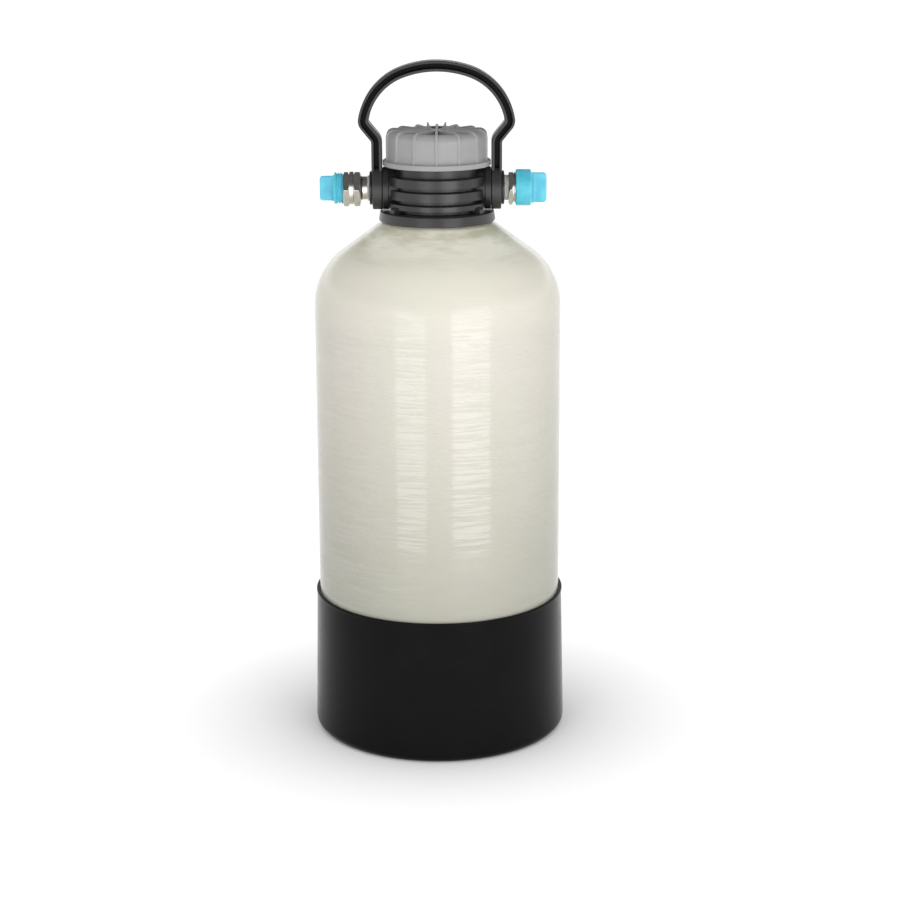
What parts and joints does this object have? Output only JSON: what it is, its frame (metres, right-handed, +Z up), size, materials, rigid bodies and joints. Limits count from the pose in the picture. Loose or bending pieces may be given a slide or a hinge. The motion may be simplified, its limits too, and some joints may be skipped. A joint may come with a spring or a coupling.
{
  "type": "water softener",
  "caption": "Portable water softener: a fibre-wound vessel in a black boot, with a screw-in head, bail handle, ribbed fill cap and capped hose connections on both sides.",
  "frame": {"origin": "on the floor, on the vessel's axis, at the middle of the boot's foot", "axes": "+Z up along the vessel's axis, -X towards the inlet, +X towards the outlet, -Y towards the front as pictured"},
  "size_m": [0.2152, 0.2152, 0.568],
  "materials": {
    "wound_shell": "glossy resin over fine hoop winding, slightly see-through at the shoulder",
    "liner": "natural blow-moulded skin",
    "boot": "glossy black moulding with a fine grain",
    "resin": "amber ion-exchange beads",
    "inner_white": "plain white moulding",
    "head": "charcoal moulding, fine spark grain",
    "handle": "charcoal moulding, lighter worn edges",
    "fill_cap": "mid-grey moulding, soft sheen",
    "nickel": "nickel plate, lightly brushed by turning",
    "seal": "black nitrile",
    "tape": "wound white thread tape",
    "dust_cap": "light blue moulding"
  },
  "bodies": {
    "vessel_and_head": {"tank_shell": "wound_shell", "tank_liner": "liner", "base_boot": "boot", "resin_bed": "resin", "lower_basket": "inner_white", "riser_tube": "inner_white", "riser_seal": "seal", "outlet_elbow": "inner_white", "elbow_seal": "seal", "neck_gasket": "seal", "head_body": "head", "inlet_thread_tape": "tape", "inlet_nipple": "nickel", "outlet_thread_tape": "tape", "outlet_nipple": "nickel"},
    "swivel_nut": {"swivel_nut": "nickel", "hose_washer": "seal"},
    "inlet_plug_seal": {"inlet_plug_seal": "seal"},
    "inlet_plug": {"inlet_plug": "dust_cap"},
    "outlet_cap_washer": {"outlet_cap_washer": "seal"},
    "outlet_cap": {"outlet_cap": "dust_cap"},
    "fill_cap_seal": {"fill_cap_seal": "seal"},
    "fill_cap": {"fill_cap": "fill_cap"},
    "handle": {"handle": "handle"}
  },
  "joints": [
    {"name": "handle_swing", "type": "hinge", "parent": "vessel_and_head", "child": "handle", "pos_m": [0, 0, 0.4644], "axis": [1, 0, 0], "range_deg": [-110, 110]},
    {"name": "fill_cap_lift", "type": "slide", "parent": "vessel_and_head", "child": "fill_cap_seal", "axis": [0, 0, 1], "range_m": [0, 0.03]},
    {"name": "fill_cap_turn", "type": "hinge", "parent": "fill_cap_seal", "child": "fill_cap", "pos_m": [0, 0, 0.4644], "axis": [0, 0, 1], "range_deg": [0, 2160]},
    {"name": "swivel_nut_spin", "type": "hinge", "parent": "vessel_and_head", "child": "swivel_nut", "pos_m": [0, 0, 0.4644], "axis": [-1, 0, 0], "continuous": true},
    {"name": "inlet_plug_out", "type": "slide", "parent": "swivel_nut", "child": "inlet_plug_seal", "axis": [-1, 0, 0], "range_m": [0, 0.00663]},
    {"name": "inlet_plug_turn", "type": "hinge", "parent": "inlet_plug_seal", "child": "inlet_plug", "pos_m": [0, 0, 0.4644], "axis": [-1, 0, 0], "range_deg": [0, 1080]},
    {"name": "outlet_cap_out", "type": "slide", "parent": "vessel_and_head", "child": "outlet_cap_washer", "axis": [1, 0, 0], "range_m": [0, 0.01104]},
    {"name": "outlet_cap_turn", "type": "hinge", "parent": "outlet_cap_washer", "child": "outlet_cap", "pos_m": [0, 0, 0.4644], "axis": [1, 0, 0], "range_deg": [0, 1800]}
  ],
  "couplings": [
    {"joint": "fill_cap_lift", "follows": "fill_cap_turn", "m_per_rad": 0.00079577},
    {"joint": "inlet_plug_out", "follows": "inlet_plug_turn", "m_per_rad": 0.00035153},
    {"joint": "outlet_cap_out", "follows": "outlet_cap_turn", "m_per_rad": 0.00035153}
  ]
}
